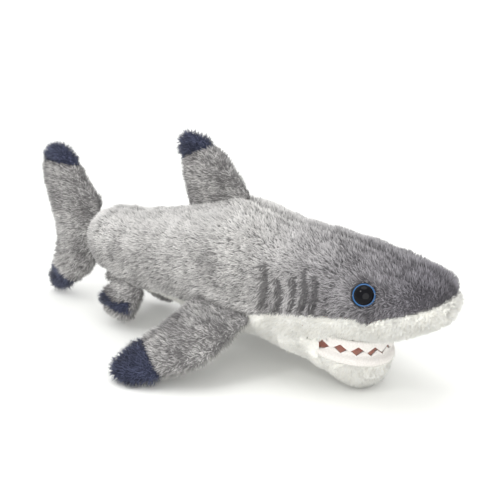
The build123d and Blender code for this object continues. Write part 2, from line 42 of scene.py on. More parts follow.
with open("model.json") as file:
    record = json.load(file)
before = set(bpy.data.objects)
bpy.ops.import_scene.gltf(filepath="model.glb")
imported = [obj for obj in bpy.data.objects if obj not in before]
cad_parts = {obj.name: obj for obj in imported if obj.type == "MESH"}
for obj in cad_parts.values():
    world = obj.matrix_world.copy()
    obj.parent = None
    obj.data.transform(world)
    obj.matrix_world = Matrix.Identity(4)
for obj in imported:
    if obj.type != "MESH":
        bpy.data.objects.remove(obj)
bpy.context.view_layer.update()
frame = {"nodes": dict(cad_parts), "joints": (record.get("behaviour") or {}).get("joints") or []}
MM = 0.001
SIDES = ("right", "left")
PILE = 3.6 * MM         # height of the grey and white pile
VOXEL = 2.4 * MM        # size of a skin's faces
FLOOR = 0.3 * MM        # nothing of the shark lies lower than this
FAR = 1.0               # stands for the distance to something that is not there
TURN = 6.28             # a whole turn in radians, for random angles


# ---------- meshes as arrays ----------

def node_arrays(name):
    """Vertices and triangles of a frame node."""
    mesh = frame["nodes"][name].data
    verts = np.zeros(len(mesh.vertices) * 3)
    mesh.vertices.foreach_get("co", verts)
    mesh.calc_loop_triangles()
    tris = np.zeros(len(mesh.loop_triangles) * 3, int)
    mesh.loop_triangles.foreach_get("vertices", tris)
    return verts.reshape(-1, 3), tris.reshape(-1, 3)


def gather(names):
    """Vertices and triangles of several nodes as one."""
    verts, tris, start = [], [], 0
    for name in names:
        v, t = node_arrays(name)
        verts.append(v)
        tris.append(t + start)
        start += len(v)
    return np.vstack(verts), np.vstack(tris)


def tree(verts, faces):
    """A search tree over faces."""
    return BVHTree.FromPolygons(verts.tolist(), faces.tolist())


def new_mesh(name, verts, quads, tris=None):
    """A mesh of four-sided faces followed by three-sided ones."""
    tris = np.zeros((0, 3), int) if tris is None else tris
    mesh = bpy.data.meshes.new(name)
    mesh.vertices.add(len(verts))
    mesh.vertices.foreach_set("co", np.asarray(verts, np.float32).ravel())
    mesh.loops.add(quads.size + tris.size)
    mesh.loops.foreach_set("vertex_index", np.concatenate([quads.ravel(), tris.ravel()]).astype(np.int32))
    mesh.polygons.add(len(quads) + len(tris))
    starts = np.concatenate([np.arange(len(quads)) * 4, quads.size + np.arange(len(tris)) * 3])
    mesh.polygons.foreach_set("loop_start", starts.astype(np.int32))
    mesh.polygons.foreach_set("use_smooth", np.ones(len(starts), bool))
    mesh.update(calc_edges=True)
    return mesh


def add_object(name, mesh):
    item = bpy.data.objects.new(name, mesh)
    bpy.context.scene.collection.objects.link(item)
    return item


def remeshed(names, voxel):
    """The surface of several nodes together, as even four-sided faces."""
    verts, tris = gather(names)
    item = add_object("remesh", new_mesh("remesh", verts, np.zeros((0, 4), int), tris))
    modifier = item.modifiers.new("voxels", "REMESH")
    modifier.mode = "VOXEL"
    modifier.voxel_size = voxel
    graph = bpy.context.evaluated_depsgraph_get()
    mesh = bpy.data.meshes.new_from_object(item.evaluated_get(graph))
    out = np.zeros(len(mesh.vertices) * 3)
    mesh.vertices.foreach_get("co", out)
    quads = np.zeros(len(mesh.loops), int)
    mesh.loops.foreach_get("vertex_index", quads)
    bpy.data.objects.remove(item)
    return out.reshape(-1, 3), quads.reshape(-1, 4)


def largest(verts, quads):
    """The connected part that reaches furthest."""
    label = np.arange(len(verts))
    while True:
        low = label[quads].min(1)
        new = label.copy()
        for corner in range(4):
            np.minimum.at(new, quads[:, corner], low)
        new = new[new]
        if (new == label).all():
            break
        label = new
    best, reach = 0, -1.0
    for value in np.unique(label):
        inside = verts[label == value]
        size = np.ptp(inside, axis=0).sum()
        if size > reach:
            best, reach = value, size
    return compact(verts, quads[label[quads[:, 0]] == best])


def compact(verts, quads, *more):
    """Drops the vertices that no face uses."""
    used = np.unique(quads)
    place = np.full(len(verts), -1)
    place[used] = np.arange(len(used))
    rest = [values[used] for values in more]
    return (verts[used], place[quads], *rest)


def smoothed(values, quads, rounds, amount=0.5):
    """Each vertex value moved towards the mean of its neighbours."""
    pairs = np.vstack([quads[:, [a, b]] for a, b in ((0, 1), (1, 2), (2, 3), (3, 0))])
    pairs = np.unique(np.sort(pairs, axis=1), axis=0)
    count = np.zeros(len(values))
    np.add.at(count, pairs[:, 0], 1)
    np.add.at(count, pairs[:, 1], 1)
    shape = (-1,) + (1,) * (values.ndim - 1)
    for _ in range(rounds):
        total = np.zeros_like(values)
        np.add.at(total, pairs[:, 0], values[pairs[:, 1]])
        np.add.at(total, pairs[:, 1], values[pairs[:, 0]])
        values = values + amount * (total / np.maximum(count, 1).reshape(shape) - values)
    return values


def unit(vectors):
    """The vectors at length 1."""
    return vectors / np.maximum(np.linalg.norm(vectors, axis=-1, keepdims=True), 1e-12)


def vertex_normals(verts, quads):
    """The mean normal of the faces at each vertex."""
    across = np.cross(verts[quads[:, 2]] - verts[quads[:, 0]], verts[quads[:, 3]] - verts[quads[:, 1]])
    total = np.zeros_like(verts)
    for corner in range(4):
        np.add.at(total, quads[:, corner], across)
    return unit(total)


def waves(points, size, seed):
    """Smooth random values from about -1 to 1 over space, with features of this size."""
    draw = np.random.default_rng(seed)
    turns = draw.normal(size=(7, 3)) * (2.2 / np.asarray(size))
    return np.sin(points @ turns.T + draw.uniform(0, TURN, 7)).sum(1) / 2.6


def ramp(value, start, length):
    """0 before the start, 1 after this length. A negative length runs the other way."""
    return np.clip((value - start) / length, 0, 1)


def hump(distance, width):
    """1 in the middle, falling smoothly to nothing at about twice the width."""
    return np.exp(-(distance / width) ** 2)


# ---------- skins ----------

THICKEST = 60 * MM      # thickness is not measured beyond this
PILE_SHARE = 0.36       # the pile takes at most this much of a thin fin's thickness
LIP_PILE = 0.75         # the pile's height at a lip, as a share of its height elsewhere
JOINED_DEPTH = 0.1      # the skin's depth beside other cloth, as a share of its depth elsewhere


def thickness(verts, quads, normals):
    """How far each vertex is from the skin's other side."""
    search = tree(verts, quads)
    out = np.full(len(verts), THICKEST)
    for index, (point, normal) in enumerate(zip(verts, normals)):
        hit = search.ray_cast(Vector(point - normal * 0.3 * MM), Vector(-normal), THICKEST)
        if hit[0] is not None:
            out[index] = hit[3]
    return out


def clearance(verts, names):
    """Distance from each vertex to the nearest of several nodes."""
    if not names:
        return np.full(len(verts), FAR)
    search = tree(*gather(names))
    return np.array([search.find_nearest(Vector(p))[3] for p in verts])


def make_skin(panels, inside, beside=(), lips=()):
    """The cloth of one body under its pile. It comes out to the frame's surface where it meets the
    nodes beside it and at the lips."""
    names = panels + inside
    verts, quads = largest(*remeshed(names, VOXEL))
    outer = smoothed(verts, quads, 2)
    normals = vertex_normals(outer, quads)
    away = np.array([clearance(outer, [name]) for name in names]).T
    depth = np.minimum(PILE, PILE_SHARE * thickness(outer, quads, normals))
    depth = smoothed(depth, quads, 4)
    joined = clearance(outer, list(beside))
    lip = clearance(outer, list(lips))
    height = depth * np.clip(lip / (7 * MM), LIP_PILE, 1)
    depth = depth * np.clip(np.minimum(joined / (8 * MM), lip / (6 * MM)), JOINED_DEPTH, 1)
    normals = unit(smoothed(normals, quads, 2))
    skin = smoothed(outer - normals * depth[:, None], quads, 1)
    return {"verts": skin, "quads": quads, "height": height, "away": away, "names": names,
            "outer": outer, "panels": panels, "inside": inside}


# ---------- pile ----------

TUFT_FACES = np.array([[0, 1, 3], [1, 2, 3], [2, 0, 3], [0, 2, 1]])
THIRD_OF_TURN = 2.0944          # radians
ROOT_DEPTH = 0.2 * MM           # a tuft starts this far below the skin
LEAST_LEAN, MOST_LEAN = 0.1, 1.35       # radians
SEAM_WIDTH = 2.4 * MM           # the pile is pinched within this distance of a seam
SEAM_SWELL = 6.5 * MM           # the cloth stands fullest at this distance from a seam
SHORTEST = 0.9 * MM             # least height of the pile, before seams and grooves
# Painted shade: the skin under the pile is coloured as dark as the shade deep in the pile.
SKIN_SHADE_TONE, SKIN_SHADE_TIP = 0.35, 0.1         # the skin is nearly as dark as the pile's roots


def cells(count):
    """Lower corner and size of a small square of the texture for each tuft or face."""
    side = int(math.ceil(math.sqrt(count)))
    index = np.arange(count)
    return np.stack([index % side, index // side], 1) / side, 1.0 / side


def grow_tufts(roots, normals, nap, height, look, draw):
    """Tufts as closed three-sided spikes: vertices, triangles, normals, tip values."""
    count = len(roots)
    nap = nap - normals * (nap * normals).sum(1, keepdims=True)
    nap = unit(nap + 1e-6)
    side = np.cross(normals, nap)
    swing = draw.normal(0, look["swing"], count)
    swing += look["clump"] * waves(roots, 5 * MM, 3)
    nap = nap * np.cos(swing)[:, None] + side * np.sin(swing)[:, None]
    side = np.cross(normals, nap)
    lean = np.radians(look["lean"]) + draw.normal(0, 0.13, count) + 0.10 * waves(roots, 4 * MM, 4)
    lean = np.clip(lean, LEAST_LEAN, MOST_LEAN)
    out = normals * np.cos(lean)[:, None] + nap * np.sin(lean)[:, None]
    length = height / np.cos(np.radians(look["lean"])) * draw.uniform(0.72, 1.12, count)
    tips = roots + out * length[:, None]
    width = look["width"] * draw.uniform(0.7, 1.3, count)
    spin = draw.uniform(0, TURN, count)
    corners = []
    for corner in range(3):
        angle = spin + corner * THIRD_OF_TURN
        offset = nap * np.cos(angle)[:, None] + side * np.sin(angle)[:, None]
        corners.append(roots - normals * ROOT_DEPTH + offset * width[:, None])
    verts = np.stack([*corners, tips], 1).reshape(-1, 3)
    verts[:, 2] = np.maximum(verts[:, 2], FLOOR)
    base = np.arange(count)[:, None] * 4
    tris = (base[:, None, :] + TUFT_FACES[None]).reshape(-1, 3)
    radial = [unit(c - roots) for c in corners]
    shade = [unit(0.8 * normals + 0.2 * r) for r in radial]
    shade.append(unit(0.85 * normals + 0.35 * out))
    return verts, tris, np.stack(shade, 1).reshape(-1, 3), np.tile([0, 0, 0, 1.0], count)


def scatter(verts, quads, per_area, draw):
    """Random points on the faces: face number and share of each corner."""
    a, b, c, d = (verts[quads[:, k]] for k in range(4))
    area = 0.5 * np.linalg.norm(np.cross(c - a, d - b), axis=1)
    count = draw.poisson(area * per_area)
    face = np.repeat(np.arange(len(quads)), count)
    u, v = draw.uniform(0, 1, len(face)), draw.uniform(0, 1, len(face))
    share = np.stack([(1 - u) * (1 - v), u * (1 - v), u * v, (1 - u) * v], 1)
    return face, share


def at(values, quads, face, share):
    """Vertex values at scattered points."""
    corner = values[quads[face]]
    if values.ndim == 1:
        return (corner * share).sum(1)
    return (corner * share[:, :, None]).sum(1)


def plain_relief(points):
    """The uneven fill of a fin. Each relief gives heights, and how deep in a groove each point is."""
    return 0.5 * MM * waves(points, 7 * MM, 31), np.zeros(len(points))


def seam_relief(distance, look):
    """Cloth drawn in at a seam and fuller beside it."""
    return look["crease"] * (0.45 * hump(distance - SEAM_SWELL, 3 * MM) - hump(distance, SEAM_WIDTH))


def tuft_tones_and_painted_light(surface, normals, groove, pinch, look, draw):
    """Each tuft's share of its material's light colour: random and in patches, with painted shade in the
    pleats' grooves and at seams, and painted light on upward faces behind the head."""
    tone = look["tone"] + 0.28 * draw.normal(size=len(surface)) + 0.15 * waves(surface, look["mottle"], 11)
    # Finer random patches, and painted shade in the grooves of the pleats and at seams.
    tone += 0.12 * waves(surface, 3 * MM, 12) - 0.7 * groove - 0.1 * pinch
    # Painted light: upward faces behind the head are lighter, as if lit from above.
    upward = np.clip(normals[:, 2] + 0.15, 0, 1)
    tone += look["top"] * upward * np.clip(1.55 - surface[:, 0] / 0.1, 0, 1)
    return np.clip(tone, 0, 1)


def lay_out(mesh, quad_count, tuft_count):
    """A texture square for each face of the skin and for each tuft."""
    low, size = cells(quad_count + tuft_count)
    square = np.array([[0.1, 0.1], [0.9, 0.1], [0.9, 0.9], [0.1, 0.9]])
    quad_uv = low[:quad_count, None, :] + square[None] * size
    spot = np.array([[0.1, 0.1], [0.9, 0.1], [0.5, 0.1], [0.5, 0.9]])
    tuft_uv = low[quad_count:, None, None, :] + spot[TUFT_FACES][None] * size
    layer = mesh.uv_layers.new(name="OFBake")
    layer.data.foreach_set("uv", np.concatenate([quad_uv.ravel(), tuft_uv.ravel()]).astype(np.float32))


def add_piece(name, mesh, material, body, replaced):
    """A visible piece that rides on a body and stands for frame nodes."""
    piece = add_object(name, mesh)
    mesh.materials.append(material)
    if body:
        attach(piece, body)
        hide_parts(*replaced)
    return piece


def pile_piece(name, skin, panel, body, look, nap_of, relief=plain_relief, seed=1, bare=None, dye=None):
    """One panel's skin and pile as a piece that stands for that panel. bare says where no pile grows.
    dye gives the share of the material's other colour, from points and their distances to the nodes."""
    draw = np.random.default_rng(seed)
    quads = skin["quads"]
    own = skin["away"][quads].mean(1).argmin(1)
    verts, quads, depth, away, outer = compact(
        skin["verts"], quads[own == skin["names"].index(panel)], skin["height"], skin["away"], skin["outer"])
    normals = vertex_normals(verts, quads)
    others = np.delete(away[:, :len(skin["panels"])], skin["panels"].index(panel), axis=1)
    seam = others.min(1) if others.shape[1] else np.full(len(verts), FAR)
    place = verts + normals * (relief(outer)[0] + seam_relief(seam, look))[:, None]
    place[:, 2] = np.maximum(place[:, 2], FLOOR)

    face, share = scatter(verts, quads, look["density"], draw)
    surface = at(outer, quads, face, share)
    if bare is not None:
        kept = ~bare(surface)
        face, share, surface = face[kept], share[kept], surface[kept]
    root_normals = unit(at(normals, quads, face, share))
    near_seam = at(seam, quads, face, share)
    offset, groove = relief(surface)
    pinch = hump(near_seam, SEAM_WIDTH)
    roots = at(verts, quads, face, share) + root_normals * (offset + seam_relief(near_seam, look))[:, None]
    height = np.maximum(at(depth, quads, face, share) * look["tall"], SHORTEST)
    height = height * (1 - 0.35 * pinch) * (1 - 0.8 * groove)
    tuft_verts, tris, tuft_normals, tip = grow_tufts(
        roots, root_normals, nap_of(surface), height, look, draw)
    # Painted shade: tufts in the grooves of the pleats and at seams are darker up to their tips.
    tip = tip * np.repeat(1 - 0.85 * groove - 0.3 * pinch, 4)
    tone = tuft_tones_and_painted_light(surface, root_normals, groove, pinch, look, draw)

    mesh = new_mesh(name, np.vstack([place, tuft_verts]), quads, tris + len(place))
    # Painted shade: the skin gets the dark tone and the root value of the pile's painted root shade.
    values = {"tip": np.concatenate([np.full(len(place), SKIN_SHADE_TIP), tip]),
              "tone": np.concatenate([np.full(len(place), SKIN_SHADE_TONE), np.repeat(tone, 4)])}
    if dye is not None:
        ragged = dye(surface, at(away, quads, face, share)) + 0.35 * draw.normal(size=len(roots))
        values["dye"] = np.concatenate([dye(outer, away), np.repeat(ragged, 4)]).clip(0, 1)
    for key, column in values.items():
        attribute = mesh.attributes.new(key, "FLOAT", "POINT")
        attribute.data.foreach_set("value", column.astype(np.float32))
    lay_out(mesh, len(quads), len(roots))
    skin_normals = vertex_normals(place, quads)
    mesh.normals_split_custom_set_from_vertices(np.vstack([skin_normals, tuft_normals]).tolist())
    stuffing = [node for node in skin["inside"] if "stuffing" in node]
    piece = add_piece(name, mesh, look["material"], body, [panel, *stuffing])
    return piece


DYE_EDGE = 1.2 * MM     # width of the edge between two colours


def nearer(skin, own, others):
    """A dye for pile that lies nearer to other panels than to its own."""
    mine, theirs = skin["names"].index(own), [skin["names"].index(n) for n in others]
    return lambda points, away: 0.5 + (away[:, mine] - away[:, theirs].min(1)) / DYE_EDGE


def uneven(points):
    """Small waves for the edge of a colour."""
    return 0.5 * waves(points, 2 * MM, 33)


def near_panel(skin, panel, reach):
    """A dye that covers the pile within this reach of another panel."""
    column = skin["names"].index(panel)
    return lambda points, away: 0.5 + (reach - away[:, column]) / DYE_EDGE + uneven(points)


def ahead_of(x):
    """A dye that covers the pile in front of this x."""
    return lambda points, away: (points[:, 0] - x) / (1.5 * MM) + uneven(points)


# ---------- materials ----------

def new_material(name, roughness):
    """A material, its node graph and its shader."""
    material = bpy.data.materials.new(name)
    material.use_nodes = True
    shader = material.node_tree.nodes["Principled BSDF"]
    shader.inputs["Roughness"].default_value = roughness
    return material, material.node_tree, shader


def colour(red, green, blue):
    """A colour given as it looks on a screen, 0 to 255."""
    def straight(value):
        share = value / 255
        return share / 12.92 if share <= 0.04045 else ((share + 0.055) / 1.055) ** 2.4
    return (straight(red), straight(green), straight(blue), 1.0)


def add_node(graph, kind, **settings):
    """A new shader node with these settings."""
    made = graph.nodes.new(kind)
    for key, value in settings.items():
        setattr(made, key, value)
    return made


def value_of(graph, name):
    """A value that the mesh carries at each vertex."""
    return add_node(graph, "ShaderNodeAttribute", attribute_name=name).outputs["Fac"]


def mix(graph, mode, share, first, second):
    """A mix of two colours. Each may be a socket or a plain colour."""
    made = add_node(graph, "ShaderNodeMix", data_type="RGBA", blend_type=mode)
    for socket, value in ((made.inputs[0], share), (made.inputs[6], first), (made.inputs[7], second)):
        if hasattr(value, "is_output"):
            graph.links.new(value, socket)
        else:
            socket.default_value = value
    return made.outputs[2]


def map_range(graph, value, low, high, new_low, new_high):
    """The value with low to high stretched to new_low to new_high."""
    made = add_node(graph, "ShaderNodeMapRange")
    graph.links.new(value, made.inputs[0])
    for index, number in enumerate((low, high, new_low, new_high)):
        made.inputs[index + 1].default_value = number
    return made.outputs[0]


def darkened(graph, base, share):
    """A colour times a single value."""
    grey = add_node(graph, "ShaderNodeCombineColor")
    for index in range(3):
        graph.links.new(share, grey.inputs[index])
    return mix(graph, "MULTIPLY", 1.0, base, grey.outputs[0])


def noise_of(graph, place, scale, detail=2.0):
    """Cloudy values over the object."""
    noise = add_node(graph, "ShaderNodeTexNoise")
    graph.links.new(place, noise.inputs["Vector"])
    noise.inputs["Scale"].default_value = scale
    noise.inputs["Detail"].default_value = detail
    return noise.outputs[0]


HEAD_START, HEAD_END = 0.05, 0.185      # x between which the front colour comes in
CLOUD_SCALE, GRAIN_DETAIL, PLASTIC_SCALE = 55.0, 5.0, 300.0


def pile_material(name, dark, light, root, front=None, other=None):
    """Plush pile: each tuft has its own tone between dark and light, and painted shade darkens it towards its
    root, down to the share root of its colour. front multiplies the colour towards the nose. other is the
    pair of tones that dye turns it into."""
    material, graph, shader = new_material(name, 0.85)
    shader.inputs["Sheen Weight"].default_value = 0.25
    shader.inputs["Sheen Roughness"].default_value = 0.5
    shader.inputs["Specular IOR Level"].default_value = 0.2
    place = add_node(graph, "ShaderNodeTexCoord").outputs["Object"]
    tone = value_of(graph, "tone")
    base = mix(graph, "MIX", tone, dark, light)
    if front is not None:
        split = add_node(graph, "ShaderNodeSeparateXYZ")
        graph.links.new(place, split.inputs[0])
        ahead = map_range(graph, split.outputs[0], HEAD_START, HEAD_END, 0.0, 1.0)
        base = mix(graph, "MULTIPLY", ahead, base, front)
    if other is not None:
        base = mix(graph, "MIX", value_of(graph, "dye"), base, mix(graph, "MIX", tone, *other))
    cloud = map_range(graph, noise_of(graph, place, CLOUD_SCALE, 3.0), 0.3, 0.7, 0.86, 1.08)
    base = darkened(graph, base, cloud)
    # Painted shade: the colour darkens towards each tuft's root and on the skin, following the tip value.
    deep = map_range(graph, value_of(graph, "tip"), 0.0, 0.8, root, 1.0)
    graph.links.new(darkened(graph, base, deep), shader.inputs["Base Color"])
    return material


def felt_material(name, main, second, scale):
    """Flat cloth with a fine fibre grain."""
    material, graph, shader = new_material(name, 0.9)
    shader.inputs["Sheen Weight"].default_value = 0.1
    place = add_node(graph, "ShaderNodeTexCoord").outputs["Object"]
    noise = noise_of(graph, place, scale, GRAIN_DETAIL)
    share = map_range(graph, noise, 0.35, 0.65, 0.0, 1.0)
    graph.links.new(mix(graph, "MIX", share, main, second), shader.inputs["Base Color"])
    bump = add_node(graph, "ShaderNodeBump")
    bump.inputs["Strength"].default_value = 0.35
    bump.inputs["Distance"].default_value = 0.0004
    graph.links.new(noise, bump.inputs["Height"])
    graph.links.new(bump.outputs[0], shader.inputs["Normal"])
    return material


def gloss_material(name, main, second, roughness):
    """Moulded plastic with a faint cloud in its colour."""
    material, graph, shader = new_material(name, roughness)
    place = add_node(graph, "ShaderNodeTexCoord").outputs["Object"]
    cloud = noise_of(graph, place, PLASTIC_SCALE)
    graph.links.new(mix(graph, "MIX", cloud, main, second), shader.inputs["Base Color"])
    return material


GREY_TONES = colour(126, 123, 124), colour(253, 251, 248)
PALE_TONES = colour(150, 147, 145), colour(246, 244, 240)
NAVY_TONES = colour(30, 34, 54), colour(100, 106, 134)
WHITE_TONES = colour(251, 249, 240), colour(255, 255, 251)
SHADED_TONES = colour(112, 109, 111), colour(190, 187, 186)     # grey pile on the white cloth's edge
HEAD = colour(176, 174, 184)            # multiplies the grey towards the nose
# The number after the tones is the share of the colour that the painted root shade leaves at the roots.
BACK = pile_material("back_pile", *GREY_TONES, 0.30, front=HEAD, other=WHITE_TONES)
GREY = pile_material("grey_pile", *GREY_TONES, 0.30, front=HEAD, other=NAVY_TONES)
PALE = pile_material("pale_grey_pile", *PALE_TONES, 0.4, other=NAVY_TONES)
WHITE = pile_material("white_pile", *WHITE_TONES, 0.88, other=SHADED_TONES)
NAVY = pile_material("navy_pile", *NAVY_TONES, 0.5, other=GREY_TONES)
PINK = felt_material("pink_felt", colour(255, 206, 192), colour(252, 186, 172), 700)
FELT = felt_material("white_felt", colour(224, 220, 216), colour(212, 208, 203), 900)
THREAD = felt_material("thread", colour(96, 95, 98), colour(76, 75, 78), 2500)
BLACK = gloss_material("black_plastic", colour(14, 15, 20), colour(22, 23, 30), 0.2)
BLUE = gloss_material("blue_ring", colour(52, 108, 162), colour(36, 86, 138), 0.25)
LENS = gloss_material("clear_lens", colour(3, 4, 8), colour(8, 9, 15), 0.04)
LENS.node_tree.nodes["Principled BSDF"].inputs["Specular IOR Level"].default_value = 0.14


def look(material, slot, **changes):
    """How a panel's pile looks. Density is tufts per square metre, lean is in degrees, swing and
    clump turn the tufts at random in radians, and tall multiplies their height. tone is the mean
    share of the light colour, top is painted light added on upward faces, and mottle is the size of the
    patches."""
    base = {"material": material, "slot": slot, "density": 1.35e6, "width": 0.38 * MM, "lean": 36.0,
            "swing": 0.60, "clump": 0.5, "tall": 1.0, "crease": 0.9 * MM, "fill": 0.8,
            "top": 0.0, "tone": 0.5, "mottle": (8 * MM, 8 * MM, 16 * MM)}
    base.update(changes)
    return base


GREY_LOOK = look(GREY, "grey_pile")
# Painted light: the back's pile is lighter on its upward faces.
BACK_LOOK = look(BACK, "grey_pile", top=0.58)
FIN_LOOK = look(GREY, "grey_pile", tone=0.38)
PALE_LOOK = look(PALE, "pale_grey_pile")
WHITE_LOOK = look(WHITE, "white_pile", crease=0.4 * MM, lean=34.0, swing=1.2, density=1.1e6, width=0.5 * MM)
NAVY_LOOK = look(NAVY, "navy_pile", lean=36.0, swing=1.6, clump=1.6, tall=1.2, density=1.2e6)


# ---------- torso and jaw ----------

def joint_place(name):
    """A point on a joint's axis, from the frame."""
    joint = [j for j in frame["joints"] if j["name"] == name][0]
    return np.array(joint["pos_m"])


def gill_lines():
    """Middle x and lowest and highest z of each sewn pleat, from the frame's threads."""
    verts, _ = node_arrays("gill_threads_right")
    xs = np.sort(np.unique(np.round(verts[:, 0], 4)))
    groups = np.split(xs, np.where(np.diff(xs) > 3 * MM)[0] + 1)
    lines = []
    for group in groups:
        inside = verts[(verts[:, 0] >= group[0] - MM) & (verts[:, 0] <= group[-1] + MM)]
        lines.append((group.mean(), inside[:, 2].min(), inside[:, 2].max()))
    return lines


GILLS = gill_lines()


def swept_back(points):
    """Pile that lies from nose to tail and a little down."""
    return np.tile([-1.0, 0.0, -0.25], (len(points), 1))


def back_nap(points):
    """The pile lies back, and hangs down among the pleats."""
    out = swept_back(points)
    first, last = GILLS[0][0] - 8 * MM, GILLS[-1][0] + 5 * MM
    low, high = GILLS[0][1], GILLS[0][2]
    among = ramp(np.minimum(points[:, 0] - first, last - points[:, 0]), 0, 3 * MM)
    among *= ramp(points[:, 2], high + 2 * MM, -5 * MM) * (points[:, 2] > low - 3 * MM)
    out[:, 0] *= 1 - 0.85 * among
    out[:, 2] -= among
    return out


LIP_TOP = 0.062         # z below which the muzzle's pile hangs over the lip


def muzzle_nap(points):
    """The pile lies back, and hangs over the upper lip."""
    out = swept_back(points)
    out[:, 2] -= 2.2 * ramp(points[:, 2], LIP_TOP, -0.012)
    return out


VALLEY_DEPTH, VALLEY_WIDTH = 4.8 * MM, 1.7 * MM
FOLD_HEIGHT, FOLD_WIDTH = 3.2 * MM, 2.4 * MM
FOLD_BEHIND = 3.2 * MM          # from the bottom of a pleat back to its fold
PLEAT_END = 22                  # how sharply a pleat ends
RIDGE_START = 0.07              # z above which the seam along the ridge shows
TAIL_ROOT = -0.098              # x behind which the body is fuller on top


def pleat_x(middle, share):
    """Where a pleat is at this share of its height. Its middle stands forward."""
    return middle + 3.5 * MM * np.sin(np.clip(share, 0, 1) * math.pi) - 2 * MM


def pleats(points):
    """Height of the sewn pleats, and how deep in a pleat each point is."""
    offset = np.zeros(len(points))
    groove = np.zeros(len(points))
    for x, low, high in GILLS:
        share = (points[:, 2] - low) / (high - low)
        across = points[:, 0] - pleat_x(x, share)
        ends = 1 / (1 + np.exp(-(share + 0.02) * PLEAT_END)) / (1 + np.exp((share - 1.02) * PLEAT_END))
        valley = hump(across, VALLEY_WIDTH) * ends
        fold = hump(across + FOLD_BEHIND, FOLD_WIDTH) * ends
        offset += fold * FOLD_HEIGHT - valley * VALLEY_DEPTH
        groove = np.maximum(groove, valley)
    return offset, groove


SNOUT_START = 0.136             # x where the snout starts to fill out, low down
SNOUT_Z = [0.050, 0.057, 0.072, 0.083]
SNOUT_FULL = [2.6, 1.3, 1.3, 4.4]       # how much fuller it gets at each z, in millimetres


def nose_relief(points):
    """The cloth is fuller at the snout, above and below the seam."""
    high = ramp(points[:, 2], 0.056, 0.020)
    full = ramp(points[:, 0] - SNOUT_START - 0.024 * high, 0, 0.03)
    most = np.interp(points[:, 2], SNOUT_Z, SNOUT_FULL)
    return most * MM * full * full * (3 - 2 * full), np.zeros(len(points))


def back_relief(points):
    """Pleats, uneven fill, the seam along the ridge, a full snout and a full end above the tail."""
    offset, groove = pleats(points)
    lumps = 0.5 * MM * waves(points, np.array([8, 26, 30]) * MM, 32)
    side = np.abs(points[:, 1])
    ridge = ramp(points[:, 2], RIDGE_START, 0.01) * 1.5 * MM
    offset += ridge * (0.7 * hump(side - SEAM_SWELL, 3 * MM) - hump(side, 2.2 * MM))
    near_tail = ramp(points[:, 0], TAIL_ROOT, -0.03) * ramp(points[:, 2], RIDGE_START, 0.02)
    return offset + lumps + nose_relief(points)[0] + 3.5 * MM * near_tail, groove


CHIN_END = 0.136        # x where the chin starts to draw in


def chin_relief(points):
    """The chin's end is rounder than the frame's."""
    return -2.4 * MM * ramp(points[:, 0], CHIN_END, 0.018) ** 2, np.zeros(len(points))


def behind_jaw(points):
    """Points of the chin under the throat cover."""
    return points[:, 0] < joint_place("jaw_open")[0]


def eye_facts(side):
    """Middle of the ring's face and the way the eye looks, from the frame."""
    iris, _ = node_arrays("eye_iris_" + side)
    lens, _ = node_arrays("eye_lens_" + side)
    centre = (iris.max(0) + iris.min(0)) / 2
    way = np.linalg.svd(iris - iris.mean(0))[2][2]
    way = way * np.sign(way @ (lens.mean(0) - centre))
    return centre + way * 0.25 * MM, way


EYES = {side: eye_facts(side) for side in SIDES}


EYE_BARE = (7.2 * MM, 8.4 * MM)         # radius without pile, on the nose side and elsewhere


def under_eye(points):
    """Points that an eye covers. Pile grows closer to it on the nose side."""
    out = np.zeros(len(points), bool)
    for centre, way in EYES.values():
        reach = points - centre
        along = reach @ way
        radius = np.where(reach[:, 0] > 2 * MM, *EYE_BARE)
        out |= (np.linalg.norm(reach - along[:, None] * way, axis=1) < radius) & (np.abs(along) < 8 * MM)
    return out


# The cloth of the fins, where the torso's skin has to meet theirs.
FINS = [n for n in frame["nodes"] if n.startswith((
    "dorsal_p", "tail_p", "anal", "pectoral_u", "pectoral_l", "pelvic_o", "pelvic_i"))]
BACKS = ["back_panel_right", "back_panel_left"]
TORSO = BACKS + ["belly_panel", "muzzle_panel"]
torso = make_skin(TORSO, ["palate_lining", "throat_lining", "torso_stuffing"],
                  FINS + ["chin_panel", "eye_base_right", "eye_base_left"], ["palate_lining"])
for number, side in enumerate(SIDES):
    edge = nearer(torso, "back_panel_" + side, ["belly_panel", "muzzle_panel"])
    pile_piece("back_" + side, torso, "back_panel_" + side, "root", BACK_LOOK, back_nap,
               back_relief, seed=20 + number, bare=under_eye, dye=edge)
pile_piece("belly", torso, "belly_panel", "root", WHITE_LOOK, back_nap, seed=22,
           dye=nearer(torso, "belly_panel", BACKS))
pile_piece("muzzle", torso, "muzzle_panel", "root", WHITE_LOOK, muzzle_nap,
           nose_relief, seed=23, dye=nearer(torso, "muzzle_panel", BACKS))

jaw = make_skin(["chin_panel"], ["mouth_floor_lining", "jaw_stuffing"], ["belly_panel"],
                ["mouth_floor_lining"])
pile_piece("chin", jaw, "chin_panel", "jaw", WHITE_LOOK, back_nap, chin_relief, seed=24, bare=behind_jaw)

COVER_BEHIND, COVER_AHEAD = 22 * MM, 9 * MM     # the cover's ends, from the jaw's hinge
COVER_TURN = 106                # degrees from straight down to the cover's rim
COVER_START = 90 * MM           # the cover's rays start this far from the hinge
LEAST_REACH = 29 * MM           # a shorter reach is inside the mouth
CLOTH = 0.6 * MM                # from the cover's face to its skin


